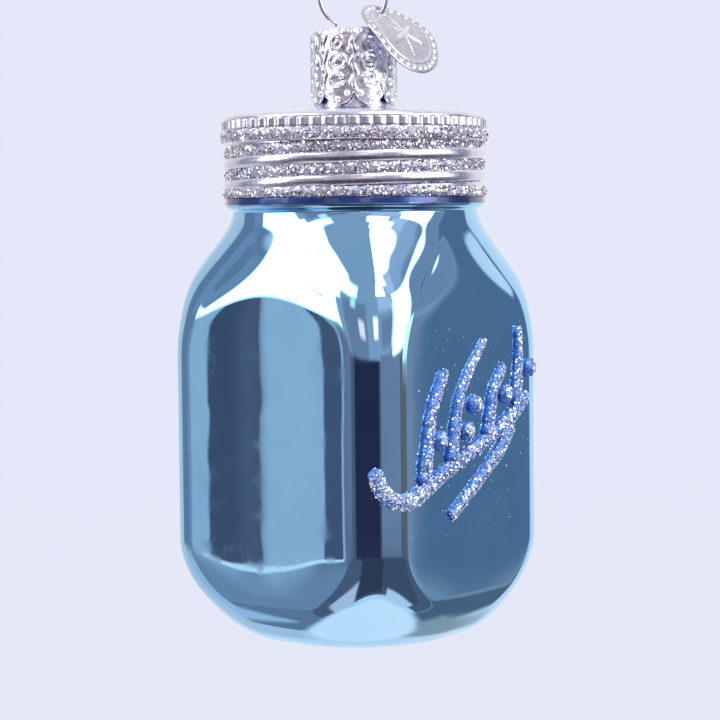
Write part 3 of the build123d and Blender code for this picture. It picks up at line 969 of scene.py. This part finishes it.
# What the mirror sees: name, (azimuth from, to, elevation from, to) and softness in degrees, colour.
ROOM = [
    # back of the room
    ("back left wall", (-152, -118, -60, 32), 14, (0.80, 0.76, 0.78)),
    ("back left recess", (-122, -88, -11, 31), 5, (0.27, 0.29, 0.36)),
    ("floor left", (-116, -62, -60, -10), 8, (0.26, 0.27, 0.32)),
    ("floor far left", (-116, -92, -44, -12), 6, (0.70, 0.70, 0.78)),
    ("right wall", (99, 119, -11, 34), 5, (0.17, 0.215, 0.30)),
    ("right wall low", (96, 124, -60, -11), 8, (0.16, 0.18, 0.22)),
    ("right floor", (112, 152, -62, -34), 10, (0.52, 0.46, 0.45)),
    # front upper
    ("upper front", (-66, 100, -2, 80), 5, (0.50, 0.50, 0.56)),
    ("upper right", (50, 80, 40, 75), 8, (0.62, 0.58, 0.66)),
    ("upper far right", (78, 101, 4, 46), 6, (0.36, 0.36, 0.44)),
    ("upper dark left", (-56, -10, -2, 30), 8, (0.33, 0.32, 0.38)),
    ("right glow", (16, 48, 24, 36), 6, (0.90, 0.76, 0.85)),
    ("upper right glow", (42, 62, 38, 54), 6, (0.95, 0.82, 0.88)),
    ("right low middle", (22, 48, 6, 20), 5, (0.36, 0.33, 0.40)),
    ("recess edge", (-102, -90, 6, 26), 5, (0.37, 0.38, 0.48)),
    # front lower
    ("lower front", (-76, 97, -57, -1), 2, (0.15, 0.15, 0.19)),
    ("lower middle", (-34, 22, -54, -9), 8, (0.065, 0.065, 0.09)),
    ("lower right", (22, 84, -48, -8), 5, (0.105, 0.11, 0.145)),
    ("corner left light", (-74, -60, -8.8, 1), 5, (0.28, 0.26, 0.32)),
    ("corner dark", (-50, 14, -10, -1), 5, (0.04, 0.035, 0.065)),
    ("corner right light", (18, 72, -8.8, 2), 3, (0.34, 0.31, 0.37)),
    ("olive", (74, 90, -8.8, 2), 5, (0.25, 0.18, 0.15)),
    ("corner end", (92, 100.8, -8.8, 2), 3, (0.39, 0.34, 0.40)),
    ("low right bright", (34, 80, -60, -47), 5, (1.0, 0.86, 0.84)),
    ("low left bright", (-62, -34, -60, -33), 6, (0.95, 0.75, 0.75)),
    ("bottom", (-180, 180, -90, -63), 6, (1.35, 1.1, 1.02)),
    # windows
    ("left window", (-88, -66.5, 2.2, 40), 3, WINDOW),
    ("left window head", (-69, -60.5, 27, 40), 3, WINDOW),
    ("left high window", (-71, -47, 36, 50), 3, WINDOW),
    ("left high window end", (-50, -31, 35, 47), 4, (3, 3, 3)),
    ("left high window foot", (-42, -33, 24, 36), 5, (1.3, 1.3, 1.3)),
    ("right high window", (12, 38, 37, 50), 3, WINDOW),
    ("right high window middle", (17, 48, 47, 60), 3, WINDOW),
    ("right high window head", (20, 64, 56, 72), 4, WINDOW),
    ("right window edge", (46, 53, 5, 28), 3, (1.5, 1.5, 1.6)),
    ("right window", (50.5, 86.5, 1, 37), 3, WINDOW),
    ("right window foot", (80, 95, -3, 6), 3, (1.8, 1.8, 1.8)),
    ("front lamp left", (-28, -16, 9, 17), 4, (1.9, 1.2, 1.0)),
    ("front lamp right", (4, 14, 11, 21), 3, (3.0, 2.0, 1.5)),
    # left panel
    ("panel under", (-92, -72, -24, -8.7), 3, (0.34, 0.35, 0.41)),
    ("panel", (-88, -73, -8.75, 0.8), 0.3, (0.62, 0.62, 0.67)),
    ("panel dark left", (-83.75, -79.7, -8.75, 0.8), 0.25, (0.11, 0.11, 0.15)),
    ("panel dark left inner", (-81.4, -79.7, -8.75, 0.8), 1.5, (0.15, 0.145, 0.20)),
    ("panel dark right", (-75.0, -73.4, -8.75, 0.8), 0.25, (0.13, 0.13, 0.18)),
    ("panel lower edge", (-84.5, -73.2, -8.82, -8.66), 0.06, (1.2, 1.05, 1.05)),
    ("left strip", (-96, -86.2, -9, 0), 1.5, (0.36, 0.38, 0.46)),
]


def world():
    sky = bpy.data.worlds.new("studio")
    bpy.context.scene.world = sky
    sky.use_nodes = True
    tree = sky.node_tree
    nodes, links = tree.nodes, tree.links
    azimuth, elevation, maths = direction_map(tree)

    def band(value, low, high, soft):
        """1 between low and high, with a fade of soft degrees across each end."""
        ramps = []
        for end, before, after in ((low, 0, 1), (high, 1, 0)):
            node = nodes.new("ShaderNodeMapRange")
            node.interpolation_type = "SMOOTHSTEP"
            links.new(value, node.inputs["Value"])
            node.inputs["From Min"].default_value = end - soft / 2
            node.inputs["From Max"].default_value = end + soft / 2
            node.inputs["To Min"].default_value = before
            node.inputs["To Max"].default_value = after
            ramps.append(node.outputs[0])
        return maths("MULTIPLY", *ramps)

    def mix(factor, first, second):
        node = nodes.new("ShaderNodeMix")
        node.data_type = "RGBA"
        for socket, value in ((node.inputs[0], factor), (node.inputs[6], first), (node.inputs[7], second)):
            if isinstance(value, tuple):
                socket.default_value = value
            else:
                links.new(value, socket)
        return node.outputs[2]

    colour = (*ROOM_BASE, 1)
    for _, (left, right, low, high), soft, tone in ROOM:
        inside = band(elevation, low, high, soft)
        if right - left < 360:
            inside = maths("MULTIPLY", band(azimuth, left, right, soft), inside)
        colour = mix(inside, colour, (*tone, 1))
    seen = nodes.new("ShaderNodeLightPath").outputs["Is Camera Ray"]
    links.new(mix(seen, colour, (*BACKDROP, 1)), nodes["Background"].inputs["Color"])


def floor():
    """A plain disc under the ornament, as bright as the backdrop and fading into it."""
    bpy.ops.mesh.primitive_circle_add(vertices=96, radius=1.5, fill_type="NGON", location=(0, 0, -0.12))
    ground = bpy.context.object
    ground.name = "studio_floor"
    look = Nodes("studio_floor", Base_Color=(0.8, 0.8, 0.8, 1), Roughness=0.9)
    glow = look.node("ShaderNodeEmission", Color=(*BACKDROP, 1), Strength=0.97)
    clear = look.node("ShaderNodeBsdfTransparent")
    lit, edge = look.node("ShaderNodeMixShader", Fac=0.97), look.node("ShaderNodeMixShader")
    look.link(look.shader.outputs[0], lit.inputs[1])
    look.link(glow.outputs[0], lit.inputs[2])
    reach = look.node("ShaderNodeVectorMath", operation="LENGTH")
    look.link(look.place(), reach.inputs[0])
    fade = look.node("ShaderNodeMapRange", From_Min=0.25, From_Max=1.3)
    look.link(reach.outputs["Value"], fade.inputs["Value"])
    look.link(fade.outputs[0], edge.inputs["Fac"])
    look.link(lit.outputs[0], edge.inputs[1])
    look.link(clear.outputs[0], edge.inputs[2])
    look.link(edge.outputs[0], look.tree.nodes["Material Output"].inputs["Surface"])
    ground.data.materials.append(look.material)
    ground.visible_glossy = False


def key_light():
    light = bpy.data.lights.new("key", "AREA")
    light.size, light.energy = 0.5, 6.0
    lamp = bpy.data.objects.new("key", light)
    lamp.location = (-0.5, -0.2, 0.7)
    lamp.rotation_euler = (Vector((0, 0, 0.05)) - lamp.location).to_track_quat("-Z", "Y").to_euler()
    lamp.visible_glossy = False
    bpy.context.collection.objects.link(lamp)


def camera():
    turn = radians(VIEW_ANGLE)
    data = bpy.data.cameras.new("camera")
    eye = bpy.data.objects.new("camera", data)
    bpy.context.collection.objects.link(eye)
    eye.location = (CAMERA_REACH * sin(turn) * MM, -CAMERA_REACH * cos(turn) * MM, EYE_Z * MM)
    roll = Matrix.Rotation(radians(CAMERA_ROLL), 4, "Z")
    eye.matrix_world = (Matrix.Translation(eye.location) @ Matrix.Rotation(turn, 4, "Z")
                        @ Matrix.Rotation(radians(90 - PITCH), 4, "X") @ roll)
    data.sensor_width, data.lens, data.shift_x = SENSOR, LENS, SHIFT_X
    data.clip_start, data.clip_end = 0.01, 20
    bpy.context.scene.camera = eye


bpy.context.scene.view_settings.view_transform = "Standard"
glass, silver, sheet, wire = mirrored_glass(), satin_silver(), pressed_sheet(), drawn_wire()
jar([glass, lacquer()])
lid(silver)
sprig(glue("blue_glitter_glue", (0.02, 0.10, 0.42), (0.06, 0.22, 0.66)),
      flakes_look("blue_foil_flakes", BLUE_FOIL, 0.8, 0.2))
lid_glitter(glue("silver_glitter_glue", (0.30, 0.30, 0.42), (0.54, 0.54, 0.68)),
            flakes_look("silver_foil_flakes", SILVER_FOIL, 1.0, 0.15))
cap(sheet)
tag([dull_sheet(), sheet])
frame["nodes"]["hanger_wire"].data.materials.clear()
frame["nodes"]["hanger_wire"].data.materials.append(wire)
world()
floor()
key_light()
camera()
